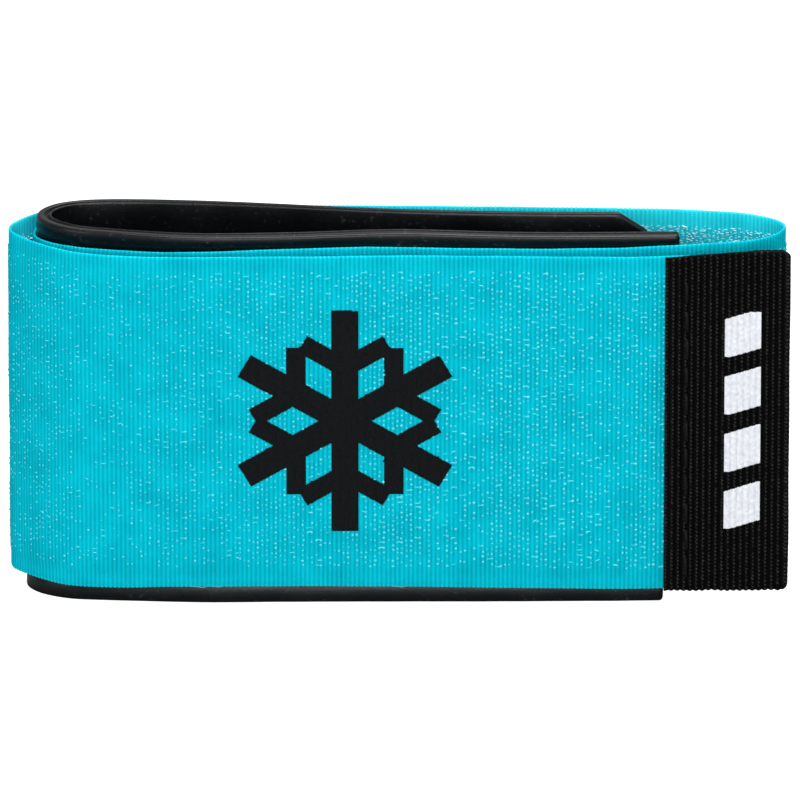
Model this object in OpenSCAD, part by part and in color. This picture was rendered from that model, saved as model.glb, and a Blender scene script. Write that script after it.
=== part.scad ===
// Hook-and-loop ski strap, rolled up round its rubber divider pad.
// The band is a woven tape with a loop face outside and a hook face inside. It is rolled as a spiral round
// the pad, a rubber strip folded in a U. The strap stands on the pad's lower edge: X runs along the roll,
// Y through its depth, Z along the band's width. The front run, with the pull tab, faces -Y.

/* [Band] */
// Width of the band across its selvedges
band_w = 50; // [44:1:52]
// Thickness of the loop pile on the outer face
loop_t = 0.3; // [0.2:0.05:0.35]
// Thickness of the woven ground
ground_t = 0.3; // [0.2:0.05:0.35]
// Thickness of the hook field on the inner face
hook_t = 0.3; // [0.2:0.05:0.35]
// Plain selvedge above and below the loop and hook fields
selvedge_w = 2.3; // [1:0.1:5]

/* [Divider pad] */
// Width of the rubber strip
pad_w = 55.2; // [54.5:0.1:57]
// Thickness of the rubber strip behind the band
pad_t = 1.9; // [1.5:0.1:2.2]
// Depth of the seat that the band lies in
seat_depth = 0.2; // [0.1:0.05:0.25]
// Height of the band's lower edge above the pad's lower edge
band_rise = 3.6; // [2.5:0.1:4]
// Slant of the front limb's end from upright, in degrees
front_end_slant = 2.2; // [0:0.1:5]
// Slope of the chamfer on the back limb's end, in degrees
back_end_slope = 33; // [25:1:45]

/* [Pull tab] */
// Width of the webbing, a little more than the band's
webbing_w = 50.7; // [44:0.1:52]
// Thickness of one layer of webbing
webbing_t = 0.9; // [0.7:0.05:1]
// Length of webbing sewn over the band's end
tab_overlap = 6.3; // [5:0.1:6.5]

/* [Stitching] */
// Radius of the sewing thread
thread_r = 0.3; // [0.2:0.05:0.35]
// Pitch of the stitches
stitch_pitch = 4.1; // [3.5:0.1:5]
// Length of thread that shows in each stitch
stitch_len = 3.2; // [2.5:0.1:3.4]

/* [Prints] */
// Thickness of the printed ink
ink_t = 0.1; // [0.05:0.01:0.12]
// Radius of the frost star on the front run
star_r = 16.5; // [12:0.5:17]
// Width of the star's six arms
arm_w = 3.8; // [2.5:0.1:5]
// Number of bars printed on the pull tab
bar_count = 4; // [2:1:5]

/* [Hidden] */
$fn = 48;

turquoise = [0.05, 0.72, 0.82];
pale_turquoise = [0.25, 0.80, 0.88];
deep_turquoise = [0.02, 0.60, 0.70];
rubber = [0.07, 0.08, 0.10];
webbing_black = [0.04, 0.04, 0.05];
thread_black = [0.10, 0.10, 0.11];
ink_black = [0.02, 0.02, 0.02];
ink_white = [0.93, 0.93, 0.94];

band_t = loop_t + ground_t + hook_t;
pad_outer = band_t - seat_depth;
pad_inner = band_t + pad_t;
band_z0 = band_rise;
band_z1 = band_rise + band_w;
field_z0 = band_z0 + selvedge_w;
field_z1 = band_z1 - selvedge_w;
webbing_z1 = band_z1;
webbing_z0 = webbing_z1 - webbing_w;
seat_gap = 0.2;
chord_turn = 4;
lay_gap = 0.03;
roll_mid_y = 11.3;
flap_x = -36;
band_end_gap = 0.5;
cutter = 40;
front_end_x = 38.7;
back_chamfer_x = 31.3;
chamfer_drop = 12;
pad_seam_z0 = 8.5;
pad_seam_count = 10;
front_seam_in = 3;
back_seam_in = 20;
tab_seam_in = 3;
tab_seam_z0 = 5;
tab_seam_count = 12;
star_x = -7.6;
star_z = 28.8;
branch_w = 2.8;
branch_len = 7;
branch_at = 8;
branch_lean = 60;
bar_in = 2.2;
bar_past_step = 1.4;
bar_h = 6.6;
bar_pitch = 8.6;
bars_z0 = 12.4;

// A run is a list of [length, turn] steps laid end to end along the band's outer face. A step with a turn is
// an arc: positive turns go clockwise, seen from above. A pose is [x, y, heading].
left_wrap_run = [[9, 19], [4, 17], [9.5, 21], [5.5, 62], [6, 20], [8, 40]];
back_run_steps = [[34, 2], [37, 2.5], [11.5, 2], [9, 5.5]];
right_wrap_run = [[7, 29], [6, 73], [8.5, 52], [8.5, 12.5]];
under_run_steps = [[12.5, 1.5], [28, 1], [24, -1.5], [20, 15], [6.5, 28.5], [4.5, 27], [2, 21]];
inner_run_steps = [[3, 25.5], [5, 39.5], [5.5, 21.5], [8.5, 7.5], [21.5, 5.5], [18, -5], [25.5, -4.5]];
pad_back_extra = [[5.5, 0]];
flap_root_run = [[9, 0]];
flap_middle_run = [[41, 0]];
flap_end_run = [[16, 0], [7, -7], [7, 0]];
tab_run = [[6, 3], [4.8, 8]];

function advance(pose, step) =
    let (h = pose[2], turn = step[1], r = turn == 0 ? 0 : step[0] * 180 / (PI * turn))
    turn == 0
        ? [pose[0] + step[0] * cos(h), pose[1] + step[0] * sin(h), h]
        : [pose[0] + r * (sin(h) - sin(h - turn)), pose[1] - r * (cos(h) - cos(h - turn)), h - turn];
function pose_at(start, run, n) = n == 0 ? start : advance(pose_at(start, run, n - 1), run[n - 1]);
function run_end(start, run) = pose_at(start, run, len(run));
function part_of(step, length) = [length, step[1] * length / step[0]];

flap_start = [flap_x, -roll_mid_y, 0];
left_wrap_start = [flap_x, -roll_mid_y, 180];
back_run_start = run_end(left_wrap_start, left_wrap_run);
right_wrap_start = run_end(back_run_start, back_run_steps);
under_run_start = run_end(right_wrap_start, right_wrap_run);
inner_run_start = run_end(under_run_start, under_run_steps);
flap_middle_start = run_end(flap_start, flap_root_run);
flap_end_start = run_end(flap_middle_start, flap_middle_run);
tab_start = run_end(flap_end_start, flap_end_run);
tab_base_start = advance(tab_start, [-tab_overlap, 0]);
pad_back_run = concat(inner_run_steps, pad_back_extra);
core_run = concat(left_wrap_run, back_run_steps, right_wrap_run, under_run_steps);
flap_end_band = [flap_end_run[0], flap_end_run[1], [flap_end_run[2][0] - band_end_gap, 0]];

// The poses along a run, close enough together that an arc is smooth
function chords(turn) = turn == 0 ? 1 : 2 + ceil(abs(turn) / chord_turn);
function run_poses(start, run) = [
    for (i = [0 : len(run) - 1])
        let (pose = pose_at(start, run, i), n = chords(run[i][1]))
            for (k = [0 : n - 1]) advance(pose, part_of(run[i], run[i][0] * k / n)),
    run_end(start, run)
];
function beside(pose, offset) = [pose[0] + offset * sin(pose[2]), pose[1] - offset * cos(pose[2])];

// An upright wall that follows a run, between two offsets. Offsets grow from the band's outer face into the
// roll. The roll's inside is on the right of a run that follows the spiral inwards (side 1), and on the left
// of the flap's runs, which are laid from the hinge towards the tab (side -1).
module wall(start, run, o0, o1, z0, z1, side = 1) {
    poses = run_poses(start, run);
    translate([0, 0, z0])
        linear_extrude(z1 - z0)
            polygon(concat(
                [for (pose = poses) beside(pose, side * o0)],
                [for (i = [len(poses) - 1 : -1 : 0]) beside(poses[i], side * o1)]
            ));
}

module ground(start, run, side = 1) {
    color(turquoise)
        wall(start, run, loop_t, loop_t + ground_t, band_z0, band_z1, side);
}

module loops(start, run, side = 1) {
    color(pale_turquoise)
        wall(start, run, 0, loop_t, field_z0, field_z1, side);
}

module hooks(start, run, side = 1) {
    color(deep_turquoise)
        wall(start, run, loop_t + ground_t, band_t, field_z0, field_z1, side);
}

// The rubber strip: a full-width wall with two raised rims that leave a seat for the band
module pad_strip(start, run) {
    wall(start, run, band_t, pad_inner, 0, pad_w);
    wall(start, run, pad_outer, band_t, 0, band_z0 - seat_gap);
    wall(start, run, pad_outer, band_t, band_z1 + seat_gap, pad_w);
}

// An upright row of stitches: half-round bars that bulge outwards, or into the roll
module stitch_row(pose, offset, outward, z0, count, side = 1) {
    at = beside(pose, side * (outward ? offset - lay_gap : offset + lay_gap));
    translate([at[0], at[1], 0])
        rotate(pose[2])
            mirror([0, outward == (side > 0) ? 0 : 1, 0])
                for (i = [0 : count - 1])
                    translate([0, 0, z0 + i * stitch_pitch])
                        rotate_extrude(angle = 180)
                            square([thread_r, stitch_len]);
}

module left_wrap() { ground(left_wrap_start, left_wrap_run); }
module back_run() { ground(back_run_start, back_run_steps); }
module right_wrap() { ground(right_wrap_start, right_wrap_run); }
module under_run() { ground(under_run_start, under_run_steps); }
module core_loops() { loops(left_wrap_start, core_run); }
module core_hooks() { hooks(left_wrap_start, core_run); }
module inner_run() { ground(inner_run_start, inner_run_steps); }
module inner_loops() { loops(inner_run_start, inner_run_steps); }
module inner_hooks() { hooks(inner_run_start, inner_run_steps); }
module flap_root() { ground(flap_start, flap_root_run, -1); }
module flap_root_loops() { loops(flap_start, flap_root_run, -1); }
module flap_root_hooks() { hooks(flap_start, flap_root_run, -1); }
module flap_middle() { ground(flap_middle_start, flap_middle_run, -1); }
module flap_middle_loops() { loops(flap_middle_start, flap_middle_run, -1); }
module flap_middle_hooks() { hooks(flap_middle_start, flap_middle_run, -1); }
module flap_end() { ground(flap_end_start, flap_end_band, -1); }
module flap_end_loops() { loops(flap_end_start, flap_end_band, -1); }
module flap_end_hooks() { hooks(flap_end_start, flap_end_band, -1); }

// The front limb and the first half of the fold, with its end cut at a slight slant
module pad_front_limb() {
    color(rubber)
        difference() {
            pad_strip(under_run_start, under_run_steps);
            translate([front_end_x, -roll_mid_y, pad_w / 2])
                rotate([0, front_end_slant, 0])
                    translate([0, 0, -pad_w])
                        cube([cutter, cutter, 2 * pad_w]);
        }
}

// The back limb and the second half of the fold, with both corners of its end chamfered
module pad_back_limb() {
    color(rubber)
        difference() {
            pad_strip(inner_run_start, pad_back_run);
            for (low = [0, 1])
                translate([0, 0, low ? 0 : pad_w])
                    mirror([0, 0, low])
                        translate([back_chamfer_x, -roll_mid_y, 0])
                            rotate([0, back_end_slope, 0])
                                cube([cutter, cutter, chamfer_drop]);
        }
}

module pad_front_seam() {
    seam_step = part_of(under_run_steps[1], front_seam_in);
    seam_pose = advance(pose_at(under_run_start, under_run_steps, 1), seam_step);
    color(thread_black)
        for (face = [[0, true], [pad_inner, false]])
            stitch_row(seam_pose, face[0], face[1], pad_seam_z0, pad_seam_count);
}

module pad_back_seam() {
    last = len(inner_run_steps) - 1;
    seam_step = part_of(inner_run_steps[last], back_seam_in);
    seam_pose = advance(pose_at(inner_run_start, inner_run_steps, last), seam_step);
    color(thread_black)
        for (face = [[0, true], [pad_inner, false]])
            stitch_row(seam_pose, face[0], face[1], pad_seam_z0, pad_seam_count);
}

// A six-armed frost star, flat on the loop face
module star_arm() {
    translate([-arm_w / 2, -ink_t, 0])
        cube([arm_w, ink_t, star_r]);
    for (lean = [-branch_lean, branch_lean])
        translate([0, 0, branch_at])
            rotate([0, lean, 0])
                translate([-branch_w / 2, -ink_t, 0])
                    cube([branch_w, ink_t, branch_len]);
}
module band_print() {
    color(ink_black)
        translate([star_x, -roll_mid_y, star_z])
            for (arm = [0 : 5])
                rotate([0, arm * 60, 0])
                    star_arm();
}

// Two layers of webbing, one on each side of the band's end
module tab_base() {
    color(webbing_black) {
        wall(tab_base_start, [[tab_overlap, 0]], -webbing_t, 0, webbing_z0, webbing_z1, -1);
        wall(tab_base_start, [[tab_overlap, 0]], band_t, band_t + webbing_t, webbing_z0, webbing_z1, -1);
    }
}

module tab_seam() {
    seam_pose = advance(tab_base_start, [tab_seam_in, 0]);
    color(thread_black)
        for (face = [[-webbing_t, true], [band_t + webbing_t, false]])
            stitch_row(seam_pose, face[0], face[1], tab_seam_z0, tab_seam_count, -1);
}

// The free end of the webbing, where its two layers lie together and end in a round fold
module pull_tab() {
    fold = run_end(tab_start, tab_run);
    color(webbing_black) {
        wall(tab_start, tab_run, -webbing_t, webbing_t, webbing_z0, webbing_z1, -1);
        translate([fold[0], fold[1], webbing_z0])
            rotate(fold[2] - 90)
                rotate_extrude(angle = 180)
                    square([webbing_t, webbing_w]);
    }
}

// A column of plain bars, printed along the tab's outer face
module tab_print() {
    bar_start = advance(tab_start, part_of(tab_run[0], bar_in));
    bar_run = [part_of(tab_run[0], tab_run[0][0] - bar_in), part_of(tab_run[1], bar_past_step)];
    color(ink_white)
        for (i = [0 : bar_count - 1])
            wall(bar_start, bar_run, -webbing_t - lay_gap - ink_t, -webbing_t - lay_gap,
                bars_z0 + i * bar_pitch, bars_z0 + i * bar_pitch + bar_h, -1);
}

left_wrap();
back_run();
right_wrap();
under_run();
core_loops();
core_hooks();
pad_front_limb();
pad_front_seam();
pad_back_limb();
inner_run();
inner_loops();
inner_hooks();
pad_back_seam();
flap_root();
flap_root_loops();
flap_root_hooks();
flap_middle();
flap_middle_loops();
flap_middle_hooks();
band_print();
flap_end();
flap_end_loops();
flap_end_hooks();
tab_base();
tab_seam();
pull_tab();
tab_print();
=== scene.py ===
"""Rolled hook-and-loop ski strap: woven band, rubber divider pad, webbing pull tab.

The band is one spiral run. Each soft piece is a stretch of that run, built in mesh code at its real size.
Lengths are in millimetres until a mesh is written, and s is the distance along the band from its hinge at
the pull tab, growing inwards. An offset grows from the band's outer face into the roll.
"""
import math
from collections import namedtuple

import bmesh
import bpy
import numpy as np
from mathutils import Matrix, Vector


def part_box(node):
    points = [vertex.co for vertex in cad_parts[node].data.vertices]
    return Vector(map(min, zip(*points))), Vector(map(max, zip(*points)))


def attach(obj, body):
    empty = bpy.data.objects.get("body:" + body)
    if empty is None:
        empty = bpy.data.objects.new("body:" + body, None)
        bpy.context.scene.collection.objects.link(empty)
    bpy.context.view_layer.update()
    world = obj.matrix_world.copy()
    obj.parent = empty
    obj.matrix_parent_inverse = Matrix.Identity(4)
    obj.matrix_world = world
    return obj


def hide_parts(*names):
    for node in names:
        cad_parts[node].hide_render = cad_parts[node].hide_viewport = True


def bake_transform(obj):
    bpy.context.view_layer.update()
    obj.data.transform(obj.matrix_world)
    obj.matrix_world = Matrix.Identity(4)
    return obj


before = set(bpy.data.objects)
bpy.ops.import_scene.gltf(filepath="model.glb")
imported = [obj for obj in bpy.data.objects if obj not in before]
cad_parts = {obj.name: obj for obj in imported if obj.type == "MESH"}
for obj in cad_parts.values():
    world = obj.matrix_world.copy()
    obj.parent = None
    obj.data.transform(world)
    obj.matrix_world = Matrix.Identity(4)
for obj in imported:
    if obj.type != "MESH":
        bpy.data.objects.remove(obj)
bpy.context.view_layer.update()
MM = 0.001
rng = np.random.default_rng(20)

# ---------------------------------------------------------------- sizes, from the frame and the design
def corners(node):
    """The low and the high corner of a CAD node's box, in millimetres."""
    return tuple(np.array(c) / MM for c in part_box(node))


def z_range(node):
    """The lowest and the highest z of a CAD node, in millimetres."""
    low, high = corners(node)
    return low[2], high[2]


BAND_Z = z_range("back_run")
FIELD_Z = z_range("core_loops")
PAD_Z = z_range("pad_front_limb")
WEB_Z = z_range("pull_tab")
BAND_T = 0.9
PAD_OUTER, PAD_INNER = 0.7, 2.8    # offsets of the rubber strip's two faces
WEB_T = 0.9
RIB = 0.64                         # pitch of the band's ribs
RIB_COLUMNS = 5                    # columns of the mesh in one rib
SITE_S, SITE_Z = 1.28, 0.77        # lattice of the loops: every second rib, and up the band
WEB_RIB = 0.9                      # pitch of the webbing's ribs

# [length, clockwise turn in degrees] along the roll, from the tab's hinge inwards
TAIL_RUN = [(7, 0), (7, 7), (16, 0)]
FLAP_RUN = [(41, 0), (9, 0)]
LEFT_WRAP = [(9, 19), (4, 17), (9.5, 21), (5.5, 62), (6, 20), (8, 40)]
BACK_RUN = [(34, 2), (37, 2.5), (11.5, 2), (9, 5.5)]
RIGHT_WRAP = [(7, 29), (6, 73), (8.5, 52), (8.5, 12.5)]
UNDER_RUN = [(12.5, 1.5), (28, 1), (24, -1.5), (20, 15), (6.5, 28.5), (4.5, 27), (2, 21)]
INNER_RUN = [(3, 25.5), (5, 39.5), (5.5, 21.5), (8.5, 7.5), (21.5, 5.5), (18, -5), (25.5, -4.5)]
TAB_RUN = [(6, 3), (4.8, 8)]


class Run:
    """A chain of arcs and straights that gives a place and a heading at any distance along it.

    It runs on straight past its last step. lean and twist bend it out of plumb, for the roll only.
    """

    RUN_ON = 60

    def __init__(self, start, steps):
        self.knots, self.poses, self.rates = [0.0], [tuple(start)], []
        for length, turn in list(steps) + [(self.RUN_ON, 0)]:
            x, y, h = self.poses[-1]
            k = math.radians(turn) / length
            self.rates.append(k)
            end = h - k * length
            if k:
                x, y = x + (math.sin(h) - math.sin(end)) / k, y - (math.cos(h) - math.cos(end)) / k
            else:
                x, y = x + length * math.cos(h), y + length * math.sin(h)
            self.poses.append((x, y, end))
            self.knots.append(self.knots[-1] + length)
        self.lean, self.lean_at, self.twist = 0.0, -1000.0, 0.0
        self.end = self.poses[-2]
        self.table = np.array(self.poses[:-1]), np.array(self.rates), np.array(self.knots[:-1])

    def at(self, s):
        """The place and the heading at s, as x, y and radians."""
        poses, rates, knots = self.table
        s = np.asarray(s, float)
        i = np.clip(np.searchsorted(knots, s, "right") - 1, 0, len(rates) - 1)
        d, k = s - knots[i], rates[i]
        x, y, h = np.moveaxis(poses[i], -1, 0)
        safe = np.where(k == 0, 1, k)
        turned = h - k * d
        px = np.where(k == 0, x + d * np.cos(h), x + (np.sin(h) - np.sin(turned)) / safe)
        py = np.where(k == 0, y + d * np.sin(h), y - (np.cos(h) - np.cos(turned)) / safe)
        return px, py, turned

    def point(self, s, offset, z):
        """Points at s, offset to the right of the heading, at height z; the three broadcast together."""
        s, offset, z = np.broadcast_arrays(np.asarray(s, float), offset, z)
        x, y, h = self.at(s)
        foot = 1 - z / PAD_Z[1]
        x, y = x + offset * np.sin(h), y - offset * np.cos(h)
        x = x + (0.5 - self.lean * foot) * np.clip(1 - abs(s - self.lean_at) / 45, 0, 1) ** 1.5
        y = y - self.twist * foot * np.clip((-34 - x) / 21, 0, 1) ** 1.6
        return np.stack([x, y, z], -1)


# The flap's root hinge is a known place, so the run is followed from it back to the pull tab first
hinge = (-36.0, corners("flap_middle_loops")[0][1], 0.0)
tab_pose = Run(hinge, [(length, -turn) for length, turn in reversed(TAIL_RUN + FLAP_RUN)]).end
roll = Run((tab_pose[0], tab_pose[1], tab_pose[2] + math.pi),
           TAIL_RUN + FLAP_RUN + LEFT_WRAP + BACK_RUN + RIGHT_WRAP + UNDER_RUN + INNER_RUN)
tab_path = Run(tab_pose, TAB_RUN)


def run_length(run):
    return sum(length for length, _ in run)


S_TAIL = 0.5                                     # the band's outer end, inside the webbing's fold
S_FLAP = run_length(TAIL_RUN)                    # the hinge between the flap's end and its middle
S_MIDDLE = S_FLAP + FLAP_RUN[0][0]               # between the flap's middle and its root
S_HINGE = S_FLAP + run_length(FLAP_RUN)          # between the flap's root and the core
S_WRAP_END = S_HINGE + run_length(LEFT_WRAP)
S_RIGHT = S_WRAP_END + run_length(BACK_RUN)
S_UNDER = S_RIGHT + run_length(RIGHT_WRAP)
S_INNER = S_UNDER + run_length(UNDER_RUN)
S_END = S_INNER + run_length(INNER_RUN)
roll.lean, roll.lean_at = 2.1, S_INNER + 4       # the pad's fold stands a little further out at its foot
roll.twist = 2.6                                 # and the whole left end comes forward at its foot
S_PAD, S_PAD_END = S_UNDER + 1.5, S_END + 5.5    # the rubber strip's two ends


# ---------------------------------------------------------------- mesh helpers
def new_object(name, verts, faces, uv=None):
    """A smooth mesh from points and faces; points, and uv as one pair a point, are in millimetres."""
    mesh = bpy.data.meshes.new(name)
    mesh.from_pydata((np.asarray(verts) * MM).tolist(), [], faces)
    mesh.update()
    if uv is not None:
        layer = mesh.uv_layers.new(name="lay")
        index = np.empty(len(mesh.loops), np.int32)
        mesh.loops.foreach_get("vertex_index", index)
        layer.data.foreach_set("uv", (np.asarray(uv) * MM)[index].astype(np.float32).ravel())
    mesh.polygons.foreach_set("use_smooth", [True] * len(mesh.polygons))
    obj = bpy.data.objects.new(name, mesh)
    bpy.context.scene.collection.objects.link(obj)
    return obj


def tube_faces(rows, ring):
    """Quads and end caps of a closed sweep: rows sections of ring points each."""
    i, j = np.meshgrid(np.arange(rows - 1), np.arange(ring), indexing="ij")
    k = (j + 1) % ring
    quads = np.stack([i * ring + j, (i + 1) * ring + j, (i + 1) * ring + k, i * ring + k], -1).reshape(-1, 4)
    caps = [list(range(ring)), list(range((rows - 1) * ring + ring - 1, (rows - 1) * ring - 1, -1))]
    return quads.tolist() + caps


def flip_if_inside_out(obj):
    """Turns a closed mesh's faces outwards if its signed volume is negative."""
    mesh = bmesh.new()
    mesh.from_mesh(obj.data)
    if mesh.calc_volume(signed=True) < 0:
        bmesh.ops.reverse_faces(mesh, faces=mesh.faces)
        mesh.to_mesh(obj.data)
    mesh.free()
    return obj


RIPPLES = [(31, 67), (19, 41), (11, 23), (47, 17)]    # wavelengths over the two coordinates


def ripple(a, b, seed):
    """Slow, seeded unevenness between -1 and 1 over two coordinates in millimetres."""
    phase = np.random.default_rng(seed).uniform(0, 2 * math.pi, 8)
    total = 0
    for n, (la, lb) in enumerate(RIPPLES):
        across = np.sin(2 * math.pi * a / la + phase[2 * n])
        total = total + across * np.cos(2 * math.pi * b / lb + phase[2 * n + 1])
    return total / len(RIPPLES)


# ---------------------------------------------------------------- the band
def loose(s):
    """1 where the band hangs free, 0 where it lies against the pad or under the tab's seam."""
    against_pad = np.clip((s - (S_UNDER - 8)) / 8, 0, 1)
    under_tab = 1 - np.clip((s - 5) / 8, 0, 1)
    return (1 - against_pad) * (1 - under_tab)


def face_shift(s, z):
    """How far the cloth strays from its ideal run, the same for the weave and all that sits on it."""
    return 0.10 * loose(s) * ripple(s, z, 3)


# The band was wound by hand, so its edges wander: how far they stray from level, at distances along it.
TOP_STRAY = [(0, -0.45), (12, -0.42), (28, -0.29), (43, -0.14), (57, -0.35), (72, -0.45), (86, -0.27),
             (100, -0.15), (121, 0.05), (170, 0.10), (205, 0.30), (240, 0.2), (252, -0.3), (262, -0.40),
             (273, -0.27), (288, -0.02), (302, -0.42), (317, -0.85), (331, -0.8), (340, -1.2), (350, -0.8),
             (366, 0.0), (430, 0.0)]
LOW_STRAY = [(0, -0.28), (12, -0.2), (28, 0.0), (43, 0.15), (57, 0.24), (72, 0.15), (84, 0.05), (92, -0.1),
             (100, 0.0), (430, 0.0)]


def height_of(s, z):
    """Where the height z of the level band really lies at s."""
    share = (z - BAND_Z[0]) / (BAND_Z[1] - BAND_Z[0])
    top, low = (np.interp(s, *np.array(stray).T) for stray in (TOP_STRAY, LOW_STRAY))
    return z + top * share + low * (1 - share)


def rib_wave(s):
    """1 on the crowns of the ribs, -1 between them."""
    return np.cos(2 * math.pi * s / RIB)


def in_field(z):
    """1 between the selvedges and 0 on them, with a short ramp."""
    return np.clip((z - FIELD_Z[0]) / 0.5, 0, 1) * np.clip((FIELD_Z[1] - z) / 0.5, 0, 1)


def outer_face(s, z):
    """Offset of the weave's outer face: low on the selvedges, higher under the pile, ribbed all over."""
    field = in_field(z)
    return 0.27 - 0.11 * field - (0.055 - 0.015 * field) * rib_wave(s) + face_shift(s, z)


def inner_face(s, z):
    """Offset of the weave's inner face, ribbed half a pitch out of step with the outer one."""
    return 0.63 + 0.05 * in_field(z) + 0.045 * rib_wave(s + RIB / 2) + face_shift(s, z)


def band_rows():
    """Heights of the weave's rows, close together at the selvedge edges."""
    edge = [0.0, 0.1, 0.35, 1.2, FIELD_Z[0] - BAND_Z[0], FIELD_Z[0] - BAND_Z[0] + 0.5]
    middle = np.linspace(FIELD_Z[0] + 4, FIELD_Z[1] - 4, 9)
    return np.concatenate([BAND_Z[0] + np.array(edge), middle, BAND_Z[1] - np.array(edge[::-1])])


def band_stretch(name, s0, s1):
    """The weave from s0 to s1, as a closed thin solid with real ribs."""
    columns = int(round((s1 - s0) / (RIB / RIB_COLUMNS))) + 1
    s = np.linspace(s0, s1, columns)[:, None]
    z = band_rows()[None, :]
    scallop = 0.025 * rib_wave(s) + 0.06 * ripple(s, 0, 9)
    share = (z - BAND_Z[0]) / (BAND_Z[1] - BAND_Z[0])
    height = z + scallop * np.where(share > 0.5, 1, -1) * np.clip(abs(share - 0.5) * 2, 0, 1) ** 8
    round_off = 0.13 * (np.clip(1 - (z - BAND_Z[0]) / 0.2, 0, 1) + np.clip(1 - (BAND_Z[1] - z) / 0.2, 0, 1))
    height = height_of(s, height)
    out = roll.point(s, outer_face(s, z) + round_off, height)
    back = roll.point(s, inner_face(s, z) - round_off, height)[:, ::-1]
    ring = np.concatenate([out, back], 1)
    uv = np.stack(np.broadcast_arrays(s, np.concatenate([z, z[:, ::-1]], 1)), -1)
    obj = new_object(name, ring.reshape(-1, 3), tube_faces(*ring.shape[:2]), uv.reshape(-1, 2))
    return flip_if_inside_out(obj)


def pale_inside_with_painted_glow(obj):
    """Gives the band's inner face a paler material, partly its own paler tone and partly a painted glow for
    light shining through the thin tape; its quads are the second half of every section.
    """
    rows = len(band_rows())
    number = np.arange(len(obj.data.polygons))
    place = number % (2 * rows)
    inner = (place >= rows) & (place < 2 * rows - 1) & (number < len(number) - 2)
    obj.data.materials.append(WEAVE_INSIDE)
    obj.data.polygons.foreach_set("material_index", inner.astype(np.int32))
    obj.data.update()


# A small dome of one unit: a ring, a smaller ring above it, and two poles
BEAD = np.array([(math.cos(a), math.sin(a), 0.0) for a in np.arange(6) * math.pi / 3]
                + [(0.72 * math.cos(a), 0.72 * math.sin(a), 0.72) for a in np.arange(6) * math.pi / 3]
                + [(0, 0, 1.0), (0, 0, -0.6)])
BEAD_FACES = np.array([(i, (i + 1) % 6, 6 + (i + 1) % 6) for i in range(6)]
                      + [(i, 6 + (i + 1) % 6, 6 + i) for i in range(6)]
                      + [(6 + i, 6 + (i + 1) % 6, 12) for i in range(6)]
                      + [((i + 1) % 6, i, 13) for i in range(6)])


def beads(name, s, z, width, height, stand, tilt, inside=False):
    """Small rounded knuckles on the weave, one for each (s, z): the pile's loops and the hooks' heads."""
    base = inner_face(s, z) if inside else outer_face(s, z)
    centre = roll.point(s, base, height_of(s, z))
    heading = roll.at(s)[2]
    along = np.stack([np.cos(heading), np.sin(heading), np.zeros_like(s)], -1)
    away = np.stack([np.sin(heading), -np.cos(heading), np.zeros_like(s)], -1) * (1 if inside else -1)
    up = np.broadcast_to([0.0, 0.0, 1.0], along.shape)
    c, t = np.cos(tilt)[:, None], np.sin(tilt)[:, None]
    along, up = along * c + up * t, up * c - along * t
    verts = (centre[:, None] + along[:, None] * (BEAD[:, 0] * width[:, None])[..., None]
             + up[:, None] * (BEAD[:, 1] * height[:, None])[..., None]
             + away[:, None] * (BEAD[:, 2] * stand[:, None])[..., None])
    count = len(s)
    faces = (BEAD_FACES[None] + (np.arange(count) * len(BEAD))[:, None, None]).reshape(-1, 3)
    if not inside:
        faces = faces[:, ::-1]
    uv = np.repeat(np.stack([s, z], -1), len(BEAD), 0)
    obj = new_object(name, verts.reshape(-1, 3), faces.tolist(), uv)
    return flip_if_inside_out(obj)


def star_mask(s, z):
    """True inside the printed star: six arms with two branches each, flat bars in the (x, z) plane."""
    x, _, _ = roll.at(s)
    dx, dz = x - STAR_X, height_of(s, z) - STAR_Z
    inside = np.zeros(np.broadcast(dx, dz).shape, bool)
    for arm in range(6):
        a = math.radians(60 * arm)
        u, v = dx * math.cos(a) - dz * math.sin(a), dx * math.sin(a) + dz * math.cos(a)
        inside |= (abs(u) <= ARM_W / 2) & (v >= 0) & (v <= STAR_R)
        for lean in (-1, 1):
            b = math.radians(60 * lean)
            w = v - BRANCH_AT
            p, q = u * math.cos(b) - w * math.sin(b), u * math.sin(b) + w * math.cos(b)
            inside |= (abs(p) <= BRANCH_W / 2) & (q >= 0) & (q <= BRANCH_LEN)
    return inside


star_lo, star_hi = corners("band_print")
STAR_X, STAR_Z = (star_lo[0] + star_hi[0]) / 2, (star_lo[2] + star_hi[2]) / 2
STAR_R = (star_hi[2] - star_lo[2]) / 2
ARM_W, BRANCH_W, BRANCH_LEN, BRANCH_AT = 3.8, 2.8, 7.0, 8.0
STAR_FILM = 0.035


HOOK_PITCH = 0.38                     # up the band
HOOKS_FULL, HOOKS_SHARE = 7, 0.30     # how far down every hook is modelled, and the share of them below


def lattice(s0, s1, pitch_s, pitch_z, density, seed, even=0.0):
    """Sites on the ribs between s0 and s1, thinned out by density, in patches unless even is 1."""
    order = np.random.default_rng(seed)
    first, last = math.ceil(s0 / pitch_s), math.floor((s1 - 0.01) / pitch_s)
    columns = np.arange(first, last + 1)
    rows = np.arange(int((FIELD_Z[1] - FIELD_Z[0] - 0.6) / pitch_z))
    cs, rz = (a.ravel() for a in np.meshgrid(columns, rows, indexing="ij"))
    s = cs * pitch_s
    z = FIELD_Z[1] - 0.15 - (rz + 0.5 * (cs % 2)) * pitch_z
    patch = 0.5 + 0.5 * ripple(s * 2.6, z * 2.6, seed + 1)
    column_bias = np.sin(cs * 12.9898 + seed) * 0.5 + 0.5
    chance = (0.35 + 0.9 * patch) * (0.55 + 0.6 * column_bias)
    keep = order.random(len(s)) < density * (chance * (1 - even) + even)
    s, z = s[keep], z[keep]
    return s + order.normal(0, 0.04, len(s)), z + order.normal(0, 0.06, len(s)), order


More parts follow.
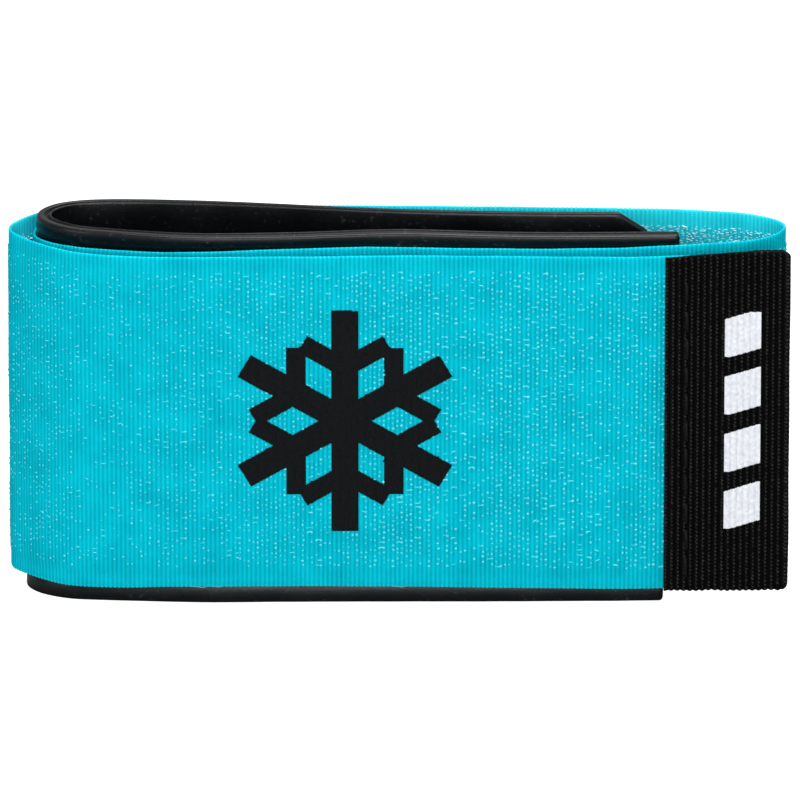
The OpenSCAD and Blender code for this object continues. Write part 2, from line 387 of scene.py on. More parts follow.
def pile(name, s0, s1, seed, crowd, inked=None, size=1.0):
    """Loops of the pile from s0 to s1: knuckles on and between the ribs, and longer floats across two ribs.

    inked keeps only the loops inside the printed star if it is true, and only those outside it if it is false.
    """
    s, z, order = lattice(s0, s1, SITE_S, SITE_Z, 1.15 * crowd, seed)
    s2, z2, _ = lattice(s0, s1, SITE_S, SITE_Z, 0.55 * crowd, seed + 50)
    s2 = s2 + SITE_S / 2
    s3, z3, _ = lattice(s0, s1, SITE_S, SITE_Z, 0.20 * crowd, seed + 90)
    s3 = s3 + SITE_S / 4
    counts = len(s), len(s2), len(s3)

    def draw(*ranges):
        return np.concatenate([order.uniform(low, high, n) for (low, high), n in zip(ranges, counts)])

    width = size * draw((0.13, 0.25), (0.10, 0.18), (0.35, 0.62))
    height = size * draw((0.12, 0.21), (0.10, 0.20), (0.06, 0.10))
    stand = draw((0.09, 0.17), (0.06, 0.11), (0.10, 0.16))
    s, z = np.concatenate([s, s2, s3]), np.concatenate([z, z2, z3])
    tilt = order.normal(0, 0.18, len(s))
    keep = (s > s0) & (s < s1)
    if inked is not None:
        keep &= star_mask(s, z) == inked
    return beads(name, s[keep], z[keep], width[keep], height[keep], stand[keep], tilt[keep])


def hooks(name, s0, s1, seed, crowd):
    """Hooks on the band's inner face: short heads in close rows, all near the top and fewer lower down."""
    s, z, order = lattice(s0, s1, SITE_S / 2, HOOK_PITCH, crowd, seed, 0.75)
    keep = (z > FIELD_Z[1] - HOOKS_FULL) | (order.random(len(s)) < HOOKS_SHARE)
    s, z = s[keep], z[keep]
    s = np.clip(s + order.normal(0, 0.15, len(s)), s0 + 0.6, s1 - 0.6)
    width = 0.12 + 0.40 * order.random(len(s)) ** 2
    height = order.uniform(0.045, 0.075, len(s))
    stand = order.uniform(0.12, 0.24, len(s))
    return beads(name, s, z, width, height, stand, order.normal(0, 0.18, len(s)), inside=True)


# ---------------------------------------------------------------- ink
def ink_sheet(name, path, s, z, offset, mask, thickness):
    """A thin closed film over the cells of an (s, z) grid where mask is true, following offset(s, z)."""
    S, Z = np.meshgrid(s, z, indexing="ij")
    cell = mask((S[:-1, :-1] + S[1:, 1:]) / 2, (Z[:-1, :-1] + Z[1:, 1:]) / 2)
    base = offset(S, Z)
    level = height_of(S, Z) if path is roll else Z
    top = path.point(S, base - thickness, level).reshape(-1, 3)
    low = path.point(S, base, level).reshape(-1, 3)
    n = len(z)
    count = S.size
    i, j = np.nonzero(cell)
    a, b, c, d = i * n + j, (i + 1) * n + j, (i + 1) * n + j + 1, i * n + j + 1
    faces = [np.stack([a, b, c, d], -1), np.stack([d, c, b, a], -1) + count]
    padded = np.pad(cell, 1)
    for di, dj, p, q in ((-1, 0, d, a), (1, 0, b, c), (0, -1, a, b), (0, 1, c, d)):
        rim = ~padded[i + 1 + di, j + 1 + dj]
        faces.append(np.stack([q[rim], p[rim], p[rim] + count, q[rim] + count], -1))
    faces = np.concatenate(faces)
    verts = np.concatenate([top, low])
    uv = np.tile(np.stack([S.ravel(), Z.ravel()], -1), (2, 1))
    used, faces = np.unique(faces, return_inverse=True)
    faces = faces.reshape(-1, 4)
    obj = new_object(name, verts[used], faces.tolist(), uv[used])
    return flip_if_inside_out(obj)


# ---------------------------------------------------------------- the rubber pad
SEAT = 0.17                       # depth of the seat that the band lies in
PAD_BEVEL, TIP_BEVEL = 0.38, 0.25
# The top edge's groove, as distances in from the inner face and depths
GROOVE = [(0.28, 0), (0.31, 0.03), (0.33, 0.50), (1.00, 0.50), (1.02, 0.04), (1.06, 0)]


def rounded_section(o0, o1, z0, z1, bevel):
    """One section of the strip as (offset, z) points: bevelled corners, a seat outside, a groove on top."""
    seat_slope = 0.12
    arc = np.linspace(0, math.pi / 2, 5)
    points = []

    def corner(co, cz, start):
        for a in arc:
            points.append((co + bevel * math.cos(start + a), cz + bevel * math.sin(start + a)))

    corner(o0 + bevel, z0 + bevel, math.pi)
    corner(o1 - bevel, z0 + bevel, 1.5 * math.pi)
    for f in (0.04, 0.5, 0.96):
        points.append((o1, z0 + bevel + f * (z1 - z0 - 2 * bevel)))
    lip = min(0.16, bevel)
    for a in arc:
        points.append((o1 - lip + lip * math.cos(a), z1 - lip + lip * math.sin(a)))
    points += [(o1 - inwards, z1 - depth) for inwards, depth in GROOVE]
    corner(o0 + bevel, z1 - bevel, 0.5 * math.pi)
    seat_top = min(BAND_Z[1] - 0.2, z1 - bevel - 0.1)
    seat_low = max(BAND_Z[0] - 0.15, z0 + bevel + 0.1)
    points += [(o0, seat_top + 0.05), (o0 + SEAT, seat_top - seat_slope),
               (o0 + SEAT, (seat_top + seat_low) / 2),
               (o0 + SEAT, seat_low + seat_slope), (o0, seat_low - 0.05)]
    return np.array(points)


def rim_stray(x):
    """How far the front limb's top edge strays from its mean height: a low swell near the middle."""
    return np.clip((x + 42) / 14, 0, 1) * (0.52 * np.exp(-((x - 0.2) / 12) ** 2) - 0.25)


def pad_strip():
    """The rubber strip: a bevelled section swept round the U, slanted at one end, chamfered at the other."""
    end_round = 0.55
    end_slant, slant_reach, middle_z = math.tan(math.radians(2.2)), 25, 27.6
    chamfer_slope, chamfer_s = math.tan(math.radians(33)), S_PAD_END - 4.2
    phi = np.linspace(0, math.pi / 2, 6)
    near_end = end_round * (1 - np.cos(phi))
    inset_at = end_round * (1 - np.sin(phi))
    body = np.arange(S_PAD + end_round + 0.5, S_PAD_END - end_round - 0.4, 0.5)
    s = np.concatenate([S_PAD + near_end, body, (S_PAD_END - near_end)[::-1]])
    inset = np.concatenate([inset_at, np.zeros(len(body)), inset_at[::-1]])
    rings = []
    for here, pull in zip(s, inset):
        drop = max(0.0, here - chamfer_s) * chamfer_slope
        section = rounded_section(PAD_OUTER + pull, PAD_INNER - pull, PAD_Z[0] + drop + pull,
                                  PAD_Z[1] - drop - pull, PAD_BEVEL if pull < 0.2 else TIP_BEVEL)
        slant = end_slant * (section[:, 1] - middle_z) * max(0.0, 1 - (here - S_PAD) / slant_reach)
        if here < S_INNER:
            above_band = np.clip((section[:, 1] - BAND_Z[1] - 0.2) / 1.2, 0, 1)
            section[:, 1] += rim_stray(roll.at(here)[0]) * above_band
        uneven = 0.05 * ripple(here * 1.7, section[:, 1] * 1.7, 31)
        rings.append(roll.point(here - slant, section[:, 0] + uneven, section[:, 1]))
    rings = np.array(rings)
    uv = np.stack(np.broadcast_arrays(s[:, None], rings[..., 2]), -1)
    obj = new_object("rubber_pad", rings.reshape(-1, 3), tube_faces(*rings.shape[:2]), uv.reshape(-1, 2))
    return flip_if_inside_out(obj)


# ---------------------------------------------------------------- the webbing tab
TAB_LEFT, TAB_FREE = -6.3, run_length(TAB_RUN)    # the webbing's sewn end and its fold, along tab_path
FIRST_CORD = 1.0                                  # length from the cut edge to the first cord's crown
CORD_LIFT = 0.22


def webbing_centre(count):
    """Centre line of the folded webbing seen from above, as places and outward normals along its length."""
    front_s = np.linspace(TAB_LEFT, TAB_FREE, count)
    back_s = front_s[::-1]
    x, y, h = tab_path.at(front_s)
    front = np.stack([x + WEB_T / 2 * np.sin(h), y - WEB_T / 2 * np.cos(h)], -1)
    spread = np.clip(-back_s / 3.5 + 0.15, 0, 1)
    spread = spread * spread * (3 - 2 * spread)
    off = -(WEB_T / 2 + BAND_T * spread)
    x, y, h = tab_path.at(back_s)
    back = np.stack([x + off * np.sin(h), y - off * np.cos(h)], -1)
    cx, cy, ch = (float(v[0]) for v in tab_path.at(np.array([TAB_FREE])))
    turn = np.linspace(-math.pi / 2, math.pi / 2, 15)[1:-1]
    fold = np.stack([cx + WEB_T / 2 * np.cos(ch + turn), cy + WEB_T / 2 * np.sin(ch + turn)], -1)
    line = np.concatenate([front, fold, back])
    step = np.gradient(line, axis=0)
    length = np.concatenate([[0], np.cumsum(np.linalg.norm(np.diff(line, axis=0), axis=1))])
    normal = np.stack([step[:, 1], -step[:, 0]], -1)
    return line, normal / np.linalg.norm(normal, axis=1)[:, None], length


def webbing_relief(length, z):
    """Height of the ribbed face: round cords up the webbing, crossed by yarn, flat beside the cut edge."""
    cord = np.abs(np.cos(math.pi * (length - FIRST_CORD) / WEB_RIB)) ** 0.8
    past_edge = np.clip((length - 0.7) / 0.5, 0, 1)
    column = np.floor((length - FIRST_CORD) / WEB_RIB + 0.5)
    yarn = np.cos(2 * math.pi * z / 0.84 + math.pi * column)
    return (0.24 * cord + 0.02 * yarn * cord) * past_edge + 0.08 * (1 - past_edge)


def webbing_wave(length, z):
    """Slow waviness of the webbing's front layer, none at its sewn edge."""
    return 0.12 * ripple(length * 2, z, 40) * np.clip(length / 8, 0, 1)


def webbing():
    """The pull tab: one strip of ribbed webbing folded over the band's end."""
    line, normal, length = webbing_centre(172)
    z = np.concatenate([[WEB_Z[0], WEB_Z[0] + 0.12], np.arange(WEB_Z[0] + 0.3, WEB_Z[1] - 0.25, 0.21),
                        [WEB_Z[1] - 0.12, WEB_Z[1]]])
    L, Z = np.meshgrid(length, z, indexing="ij")
    edge = np.clip(np.minimum(Z - WEB_Z[0], WEB_Z[1] - Z) / 0.25, 0, 1)
    relief = webbing_relief(L, Z) - CORD_LIFT
    half = WEB_T / 2 - 0.02
    out_off = (half + relief) - CORD_LIFT * (1 - edge)
    # the fold's corners are worn round, and each cord ends a little short or long at the selvedge
    fold_at = length[np.argmax(line[:, 0])]
    corner = np.clip(1 - np.abs(L - fold_at) / 1.3, 0, 1)
    cord_end = 0.05 * np.cos(2 * math.pi * (L - FIRST_CORD) / WEB_RIB) + 0.12 * ripple(L * 7, 0, 12)
    at_top, at_low = np.clip((Z - WEB_Z[1] + 1.6) / 1.6, 0, 1), np.clip((WEB_Z[0] + 1.6 - Z) / 1.6, 0, 1)
    # both sewn ends are drawn in a little, and the back layer ends below the front one's top
    front_end, back_end = np.clip(1 - L / 11, 0, 1), np.clip(1 - (L[-1, 0] - L) / 14, 0, 1)
    lift = (0.3 * cord_end - 0.9 * corner ** 2) * at_top - (cord_end - 0.7 * corner ** 2) * at_low
    high = (Z - WEB_Z[0]) / (WEB_Z[1] - WEB_Z[0])
    lift = (lift - high * (0.42 * front_end + 1.25 * back_end)
            + (1 - high) * (0.45 * front_end + 0.3 * back_end))
    wave = webbing_wave(L, Z) * np.clip((L[-1, 0] - L) / 8, 0, 1)
    outer = np.concatenate([line[:, None] + normal[:, None] * (out_off + wave)[..., None],
                            (Z + lift)[..., None]], -1)
    # the plain face inside the fold needs few rows
    coarse = np.arange(0, len(z), 12)
    if coarse[-1] != len(z) - 1:
        coarse = np.append(coarse, len(z) - 1)
    inner = np.concatenate([line[:, None] + normal[:, None] * (-0.36 + wave[:, coarse])[..., None],
                            (Z + lift)[:, coarse, None]], -1)
    ring = np.concatenate([outer, inner[:, ::-1]], 1)
    uv = np.stack([np.concatenate([v, v[:, coarse][:, ::-1]], 1) for v in (L, Z)], -1)
    obj = new_object("webbing_tab", ring.reshape(-1, 3), tube_faces(*ring.shape[:2]), uv.reshape(-1, 2))
    return flip_if_inside_out(obj)


def tab_bars():
    """White bars printed along the tab, lying on its cords."""
    lo, hi = corners("tab_print")
    first, last = 2.2, 7.5
    count, gap, slope, film = 4, 2.0, 0.28, 0.09
    bar = (hi[2] - lo[2] - gap * (count - 1)) / count
    s = np.arange(first, last + 0.01, 0.09)
    z = np.arange(lo[2], hi[2] + 0.05, 0.10)

    def mask(S, Z):
        rise = (Z - lo[2]) % (bar + gap)
        lean = (S - first) * slope
        return (rise > 0.25 + lean - 0.5) & (rise < bar - 1.0 + lean)

    def face(S, Z):
        relief = webbing_relief(S - TAB_LEFT, Z) - CORD_LIFT
        return WEB_T + relief - 0.02 + webbing_wave(S - TAB_LEFT, Z) + film

    return ink_sheet("tab_bars", tab_path, s, z, face, mask, film)


# ---------------------------------------------------------------- thread and stray fibres
def thread_tubes(name, curves, radius, sides=8):
    """Closed round tubes along lists of points in millimetres, tapered at both ends."""
    verts, faces, base = [], [], 0
    for points in curves:
        step = np.gradient(points, axis=0)
        step /= np.linalg.norm(step, axis=1)[:, None]
        side = np.cross(step, [0.31, 0.23, 0.92] if abs(step[0, 2]) < 0.8 else [0.9, 0.4, 0.1])
        side /= np.linalg.norm(side, axis=1)[:, None]
        up = np.cross(side, step)
        place = np.arange(len(points))
        taper = np.clip(np.minimum(place, place[::-1]) / 1.5 + 0.45, 0, 1)
        a = np.arange(sides) * 2 * math.pi / sides
        ring = points[:, None] + (side[:, None] * np.cos(a)[None, :, None]
                                  + up[:, None] * np.sin(a)[None, :, None]) * (radius * taper)[:, None, None]
        verts.append(ring.reshape(-1, 3))
        faces += [[base + i for i in f] for f in tube_faces(len(points), sides)]
        base += len(verts[-1])
    return flip_if_inside_out(new_object(name, np.concatenate(verts), faces))


def stitch(path, s, face, z0, length, outward):
    """One stitch up the cloth: it rises out of its hole, lies on the face and dips in again."""
    depth, proud = 0.35, 0.06
    t = np.linspace(0, 1, 9)
    lift = np.sin(math.pi * t) ** 0.5
    sign = -1 if outward else 1
    return path.point(np.full(9, s), face + sign * (depth * (lift - 1) + proud * lift), z0 + t * length)


def seam(name, path, s, faces, z0, count):
    """A row of stitches up the cloth at s, on each of the faces given as (offset, whether it faces out)."""
    pitch, length, radius = 4.1, 3.3, 0.27
    curves = []
    for face, outward in faces:
        for i in range(count):
            here, foot = s + rng.normal(0, 0.05), z0 + i * pitch + rng.normal(0, 0.05)
            curves.append(stitch(path, here, face, foot, length, outward))
    return thread_tubes(name, curves, radius)


def stray_fibres():
    """A few loose filaments at the band's lower edge, each with its place, reach and drop."""
    curves = []
    for s, reach, drop in ((S_HINGE - 7.5, 2.6, 0.45), (S_HINGE - 10, 1.6, 0.35), (S_FLAP + 14, 2.0, 0.3)):
        t = np.linspace(0, 1, 14)
        z = height_of(s, BAND_Z[0]) + 0.2 - drop * np.sin(math.pi * t) * (0.6 + 0.4 * np.cos(5 * t))
        curves.append(roll.point(s + reach * (t - 0.5), 0.16 - 0.12 * np.sin(math.pi * t), z))
    return thread_tubes("stray_fibres", curves, 0.03, 6)


# ---------------------------------------------------------------- materials
class Nodes:
    """Short names for building a node tree."""

    def __init__(self, name):
        self.material = bpy.data.materials.new(name)
        self.material.use_nodes = True
        self.tree = self.material.node_tree
        self.shader = self.tree.nodes["Principled BSDF"]

    def feed(self, node, key, value):
        socket = node.inputs[key.replace("_", " ")] if isinstance(key, str) else node.inputs[key]
        if isinstance(value, bpy.types.NodeSocket):
            self.tree.links.new(value, socket)
        else:
            socket.default_value = value

    def set(self, **inputs):
        for key, value in inputs.items():
            self.feed(self.shader, key, value)

    def math(self, operation, a, b=0.0):
        node = self.tree.nodes.new("ShaderNodeMath")
        node.operation = operation
        self.feed(node, 0, a)
        self.feed(node, 1, b)
        return node.outputs[0]

    def noise(self, scale, detail=2.0, vector=None):
        node = self.tree.nodes.new("ShaderNodeTexNoise")
        node.inputs["Scale"].default_value = scale
        node.inputs["Detail"].default_value = detail
        if vector is not None:
            self.tree.links.new(vector, node.inputs["Vector"])
        return node.outputs["Fac"]

    def ramp(self, fac, stops):
        node = self.tree.nodes.new("ShaderNodeValToRGB")
        self.tree.links.new(fac, node.inputs[0])
        elements = node.color_ramp.elements
        while len(elements) < len(stops):
            elements.new(0.5)
        for element, (at, colour) in zip(elements, stops):
            element.position, element.color = at, (*colour, 1)
        return node.outputs[0]

    def bump(self, height, strength, distance):
        node = self.tree.nodes.new("ShaderNodeBump")
        node.inputs["Strength"].default_value = strength
        node.inputs["Distance"].default_value = distance
        self.tree.links.new(height, node.inputs["Height"])
        self.tree.links.new(node.outputs[0], self.shader.inputs["Normal"])

    def uv(self):
        node = self.tree.nodes.new("ShaderNodeUVMap")
        node.uv_map = "lay"
        split = self.tree.nodes.new("ShaderNodeSeparateXYZ")
        self.tree.links.new(node.outputs[0], split.inputs[0])
        return node.outputs[0], split.outputs[0], split.outputs[1]

    def wave(self, coordinate, pitch):
        """A cosine between 0 and 1 along a coordinate in metres."""
        turn = self.math("MULTIPLY", coordinate, 2 * math.pi / (pitch * MM))
        return self.math("ADD", self.math("MULTIPLY", self.math("COSINE", turn), 0.5), 0.5)


def cloth(name, dark, light, painted_edge_highlight, roughness, fine):
    """Turquoise weave: painted highlight on the rib crowns and painted shade between the ribs, a broken
    painted highlight along the selvedge edges, with fine yarn across and slow dye variation.
    """
    n = Nodes(name)
    place, along, up = n.uv()
    crown = n.wave(along, RIB)
    yarn = n.wave(up, 0.22)
    blotch = n.noise(220, 3, place)
    grain = n.noise(5200, 2, place)
    # painted shade: the colour is lighter on the rib crowns and darker between the ribs
    mix = n.math("ADD", n.math("MULTIPLY", crown, 0.30), n.math("MULTIPLY", blotch, 0.42))
    mix = n.math("ADD", mix, n.math("MULTIPLY", grain, 0.24))
    # painted highlight: within 0.35 mm of either selvedge edge the grain lifts the colour towards the ramp's
    # brightest stop
    from_edge = n.math("SUBTRACT", (BAND_Z[1] - BAND_Z[0]) / 2 * MM,
                       n.math("ABSOLUTE", n.math("SUBTRACT", up, (BAND_Z[1] + BAND_Z[0]) / 2 * MM)))
    edge = n.math("MULTIPLY", n.math("SUBTRACT", 0.35 * MM, from_edge), n.math("MULTIPLY", grain, 1600))
    mix = n.math("ADD", mix, n.math("MAXIMUM", edge, 0))
    n.set(Base_Color=n.ramp(mix, [(0.22, dark), (0.80, light), (1.0, painted_edge_highlight)]), Roughness=roughness,
          Specular_IOR_Level=0.02)
    n.bump(n.math("ADD", n.math("MULTIPLY", yarn, 0.5), n.math("MULTIPLY", grain, 0.8)), fine, 0.00006)
    return n.material


def pile_material(name, dark, light, roughness, coat):
    """Glossy nylon filament, paler than the weave, each knuckle its own shade."""
    n = Nodes(name)
    place, _, _ = n.uv()
    n.set(Base_Color=n.ramp(n.noise(900, 1, place), [(0.35, dark), (0.68, light)]), Roughness=roughness,
          Coat_Weight=coat, Coat_Roughness=0.3, Specular_IOR_Level=0.2)
    return n.material


def rubber_material():
    """Satin moulded rubber, nearly black, with a fine grain and pale dust caught in specks."""
    n = Nodes("rubber")
    place, _, _ = n.uv()
    dust = n.noise(1500, 6, place)
    smear = n.noise(90, 4, place)
    fac = n.math("ADD", n.math("MULTIPLY", dust, 0.72), n.math("MULTIPLY", smear, 0.28))
    n.set(Base_Color=n.ramp(fac, [(0.30, (0.0014, 0.0018, 0.0024)), (0.60, (0.003, 0.004, 0.005)),
                                  (0.72, (0.045, 0.048, 0.052))]),
          Roughness=n.ramp(smear, [(0.3, (0.20,) * 3), (0.7, (0.34,) * 3)]), Specular_IOR_Level=0.26)
    n.bump(n.math("ADD", n.noise(2600, 3, place), n.math("MULTIPLY", smear, 1.5)), 0.35, 0.00005)
    return n.material


def webbing_material():
    """Black ribbed webbing: painted shade in the valleys and a faint painted highlight on the cords, fine yarn
    in the bump.
    """
    n = Nodes("webbing")
    yarn_pitch, yarn_shift = 0.56, 0.382    # the yarn's pitch, and the share of it each cord is out of step
    place, along, up = n.uv()
    grain = n.noise(4200, 2, place)
    cord = n.math("FLOOR", n.math("MULTIPLY", along, 1 / (WEB_RIB / 2 * MM)))
    yarn = n.wave(n.math("ADD", up, n.math("MULTIPLY", cord, yarn_shift * yarn_pitch * MM)), yarn_pitch)
    lint = n.noise(700, 5, place)
    patchy = n.math("MULTIPLY", yarn, n.math("MULTIPLY", n.noise(1300, 2, place), 0.62))
    fac = n.math("ADD", n.math("MULTIPLY", grain, 0.40), patchy)
    fac = n.math("ADD", fac, n.math("MULTIPLY", lint, 0.27))
    # painted shade: the colour is darkened towards the valleys between the cords and lighter on their crowns
    crown = n.wave(n.math("SUBTRACT", along, FIRST_CORD * MM), WEB_RIB)
    fac = n.math("MULTIPLY", fac, n.math("ADD", n.math("MULTIPLY", crown, 0.7), 0.32))
    n.set(Base_Color=n.ramp(fac, [(0.20, (0.0004, 0.0004, 0.0005)), (0.48, (0.0022, 0.0022, 0.0025)),
                                  (0.66, (0.028, 0.028, 0.029))]),
          Roughness=0.62, Specular_IOR_Level=0.04)
    n.bump(n.math("ADD", grain, n.math("MULTIPLY", yarn, 0.5)), 0.5, 0.00006)
    return n.material


def plain_material(name, dark, light, roughness, scale, bump=0.2):
    """Ink or thread: a narrow range of one colour with a fine grain."""
    n = Nodes(name)
    coordinate = n.tree.nodes.new("ShaderNodeTexCoord").outputs["Object"]
    grain = n.noise(scale, 3, coordinate)
    n.set(Base_Color=n.ramp(grain, [(0.3, dark), (0.7, light)]), Roughness=roughness, Specular_IOR_Level=0.1)
    n.bump(grain, bump, 0.00004)
    return n.material


# ---------------------------------------------------------------- build
# each weave's third colour is the painted highlight along its selvedge edges
WEAVE = cloth("band_weave", (0.0003, 0.28, 0.37), (0.0010, 0.56, 0.69), (0.03, 0.66, 0.78), 0.7, 0.6)
# the inner face is paler: partly its own tone, partly a painted glow for light shining through the tape
WEAVE_INSIDE = cloth("band_weave_inside", (0.007, 0.46, 0.58), (0.028, 0.78, 0.90), (0.06, 0.78, 0.89),
                     0.8, 0.25)
PILE = pile_material("loop_pile", (0.012, 0.53, 0.65), (0.17, 0.71, 0.79), 0.5, 0.0)
HOOK = pile_material("hook_heads", (0.25, 0.78, 0.86), (0.85, 0.97, 0.98), 0.3, 0.3)
RUBBER = rubber_material()
WEBBING = webbing_material()
THREAD = plain_material("black_thread", (0.0012, 0.0012, 0.0016), (0.006, 0.006, 0.007), 0.5, 3000)
DARK_INK = plain_material("dark_ink", (0.0008, 0.0012, 0.0016), (0.0035, 0.0045, 0.0055), 0.62, 2600, 0.4)
WHITE_INK = plain_material("white_ink", (0.58, 0.60, 0.64), (0.74, 0.76, 0.80), 0.55, 1800)
FIBRE = plain_material("pale_fibre", (0.06, 0.42, 0.50), (0.20, 0.60, 0.66), 0.4, 900)


def finish_piece(obj, material, nodes=()):
    """Gives a piece its material and hides the CAD nodes that it stands for."""
    obj.data.materials.clear()
    obj.data.materials.append(material)
    if nodes:
        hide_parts(*nodes)
    return obj


def point_at(x, y=0.0):
    """A place on the ground, in metres, from millimetres."""
    return (x * MM, y * MM, 0.0)


def hold(obj, how):
    """Rides a piece on one body; a piece given a joint instead keeps its place baked into its mesh and rides
    no body.
    """
    if isinstance(how, str):
        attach(obj, how)
    else:
        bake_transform(obj)


# The pad's fold bend is given two points on a line that keeps the two limbs apart over their length
FOLD_LEAN = 0.06
fold_line = np.array([FOLD_LEAN, 1.0]) / (1 + FOLD_LEAN ** 2)
END_BEND = ("flap_end", "flap_middle", point_at(20.5), point_at(9.6))
MIDDLE_BEND = ("flap_middle", "flap_root", point_at(-24.2), point_at(-31.4))
ROOT_BEND = ("flap_root", "core", point_at(-31.5), point_at(-41.0))
FOLD_BEND = ("core", "pad_back", point_at(*(fold_line * -2.0)), point_at(*(fold_line * 1.2)))
TAB_BEND = ("flap_end", "tab", point_at(41.8), point_at(46.2))

# Where one woven piece ends and the next begins; the first cut lies between two ribs
CUT_MIDDLE = round((S_FLAP + 22) / RIB - 0.5) * RIB + RIB / 2
CUT_ROOT = S_MIDDLE + 4.45
CUT_FOLD = S_INNER - 9.0

Stretch = namedtuple("Stretch", "part start end how ground loops hooks crowd size")
STRETCHES = [
    # name, from, to, how it is held, the nodes each of its pieces stands for, and its loops' density and size
    Stretch("tail", S_TAIL, CUT_MIDDLE, END_BEND,
            ["flap_end"], ["flap_end_loops"], ["flap_end_hooks"], 0.95, 1.0),
    Stretch("middle", CUT_MIDDLE, CUT_ROOT, MIDDLE_BEND,
            ["flap_middle"], ["flap_middle_loops"], ["flap_middle_hooks"], 0.9, 0.84),
    Stretch("root", CUT_ROOT, S_WRAP_END, ROOT_BEND,
            ["flap_root", "left_wrap"], ["flap_root_loops"], ["flap_root_hooks"], 0.6, 0.76),
    Stretch("core", S_WRAP_END, CUT_FOLD, "core",
            ["back_run", "right_wrap", "under_run"], ["core_loops"], ["core_hooks"], 0.6, 0.9),
    Stretch("inner", CUT_FOLD, S_END, FOLD_BEND,
            ["inner_run"], ["inner_loops"], ["inner_hooks"], 0.7, 0.9),
]

for number, a in enumerate(STRETCHES):
    weave = finish_piece(band_stretch(f"band_{a.part}", a.start, a.end), WEAVE, a.ground)
    pale_inside_with_painted_glow(weave)
    inked = False if a.part in ("tail", "middle") else None
    loops = pile(f"loops_{a.part}", a.start, a.end, 100 + number, a.crowd, inked, a.size)
    finish_piece(loops, PILE, a.loops)
    hold(weave, a.how)
    hold(loops, a.how)
    hook_end = min(a.end, S_PAD - 1)
    if hook_end > a.start:
        hook = hooks(f"hooks_{a.part}", a.start, hook_end, 200 + number, 1.0 if a.part == "core" else 0.6)
        finish_piece(hook, HOOK, a.hooks)
        hold(hook, a.how)
    else:
        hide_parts(*a.hooks)

star_s = np.arange(S_FLAP - 1, S_MIDDLE + 1, RIB / 6)
star_z = np.arange(STAR_Z - STAR_R - 0.5, STAR_Z + STAR_R + 0.5, 0.16)
star = ink_sheet("frost_star", roll, star_s, star_z, outer_face, star_mask, STAR_FILM)
finish_piece(star, DARK_INK, ["band_print"])
hold(star, "flap_middle")
for number, a in enumerate(STRETCHES[:2]):
    spots = pile(f"star_pile_{a.part}", a.start, a.end, 100 + number, 1.0, True)
    finish_piece(spots, DARK_INK)
    hold(spots, "flap_middle")

pad = finish_piece(pad_strip(), RUBBER, ["pad_front_limb", "pad_back_limb"])
hold(pad, FOLD_BEND)

tab = finish_piece(webbing(), WEBBING, ["tab_base", "pull_tab"])
hold(tab, TAB_BEND)

bars = finish_piece(tab_bars(), WHITE_INK, ["tab_print"])
hold(bars, "tab")

tab_seam = seam("tab_seam_thread", tab_path, TAB_LEFT + 3, [(WEB_T, False), (-BAND_T - WEB_T, True)],
                corners("tab_seam")[0][2] + 0.1, 11)
finish_piece(tab_seam, THREAD, ["tab_seam"])
hold(tab_seam, "flap_end")
pad_faces, first_stitch, stitches = [(0.05, True), (PAD_INNER, False)], 8.5, 10
front_seam = seam("pad_front_thread", roll, S_UNDER + 15.5, pad_faces, first_stitch, stitches)
finish_piece(front_seam, THREAD, ["pad_front_seam"])
hold(front_seam, "core")
back_seam = seam("pad_back_thread", roll, S_END - 5.5, pad_faces, first_stitch, stitches)
finish_piece(back_seam, THREAD, ["pad_back_seam"])
hold(back_seam, "pad_back")

fibres = finish_piece(stray_fibres(), FIBRE)
hold(fibres, "flap_middle")

# ---------------------------------------------------------------- floor, light and camera
ELEVATION = math.radians(19)
DISTANCE = 2.0
SENSOR = 36
VIEW_WIDTH = 0.11407     # metres across the picture at the object
AIM = (0.00020, 0.0, 0.0281)

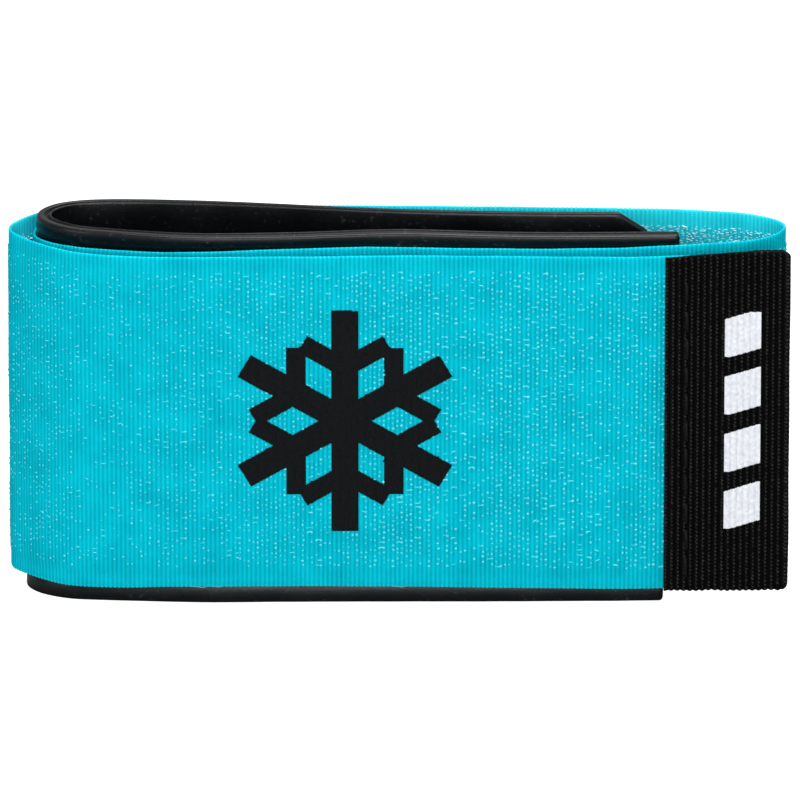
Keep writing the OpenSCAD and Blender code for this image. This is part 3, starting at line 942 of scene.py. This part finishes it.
floor_mesh = bpy.data.meshes.new("floor")
reach = 3.0
floor_mesh.from_pydata([(x * reach, y * reach, 0) for x, y in ((-1, -1), (1, -1), (1, 1), (-1, 1))], [],
                       [(0, 1, 2, 3)])
floor = bpy.data.objects.new("floor", floor_mesh)
bpy.context.scene.collection.objects.link(floor)
paper = Nodes("pale_floor")
paper.set(Base_Color=(0.40, 0.40, 0.40, 1), Roughness=0.9, Specular_IOR_Level=0.0,
          Emission_Color=(1, 1, 1, 1),     # white to the camera only, grey to the light
          Emission_Strength=paper.tree.nodes.new("ShaderNodeLightPath").outputs["Is Camera Ray"])
floor.data.materials.append(paper.material)

world = bpy.data.worlds.new("studio")
bpy.context.scene.world = world
world.use_nodes = True
sky = world.node_tree.nodes["Background"]
sky.inputs["Color"].default_value = (1, 1, 1, 1)
sky.inputs["Strength"].default_value = 0.4
backdrop = world.node_tree.nodes.new("ShaderNodeBackground")
backdrop.inputs["Color"].default_value = (1, 1, 1, 1)
seen = world.node_tree.nodes.new("ShaderNodeLightPath")
choice = world.node_tree.nodes.new("ShaderNodeMixShader")
for source, target in ((seen.outputs["Is Camera Ray"], choice.inputs[0]), (sky.outputs[0], choice.inputs[1]),
                       (backdrop.outputs[0], choice.inputs[2]),
                       (choice.outputs[0], world.node_tree.nodes["World Output"].inputs["Surface"])):
    world.node_tree.links.new(source, target)


def softbox(name, place, size, power):
    """A square lamp of power watts, turned towards the middle of the roll."""
    light = bpy.data.lights.new(name, "AREA")
    light.shape, light.size, light.energy = "SQUARE", size, power
    lamp = bpy.data.objects.new(name, light)
    bpy.context.scene.collection.objects.link(lamp)
    lamp.location = place
    away = np.array(place) - np.array([0, 0, 0.028])
    x, y, z = away / np.linalg.norm(away)
    lamp.rotation_euler = (math.acos(z), 0, math.atan2(y, x) + math.pi / 2)


softbox("overhead", (0.05, -0.10, 0.9), 0.34, 5.5)
softbox("key", (0.15, -1.00, 0.30), 0.7, 7.4)
softbox("fill", (-0.90, -0.75, 0.40), 0.7, 4.6)
softbox("back", (0.25, 0.70, 0.98), 0.5, 4.0)

camera_data = bpy.data.cameras.new("camera")
camera_data.sensor_width = SENSOR
camera_data.lens = SENSOR * DISTANCE / VIEW_WIDTH
camera_data.clip_end = 20
camera = bpy.data.objects.new("camera", camera_data)
bpy.context.scene.collection.objects.link(camera)
camera.location = (AIM[0], AIM[1] - DISTANCE * math.cos(ELEVATION), AIM[2] + DISTANCE * math.sin(ELEVATION))
camera.rotation_euler = (math.pi / 2 - ELEVATION, 0, 0)
bpy.context.scene.camera = camera
bpy.context.scene.view_settings.view_transform = "Standard"
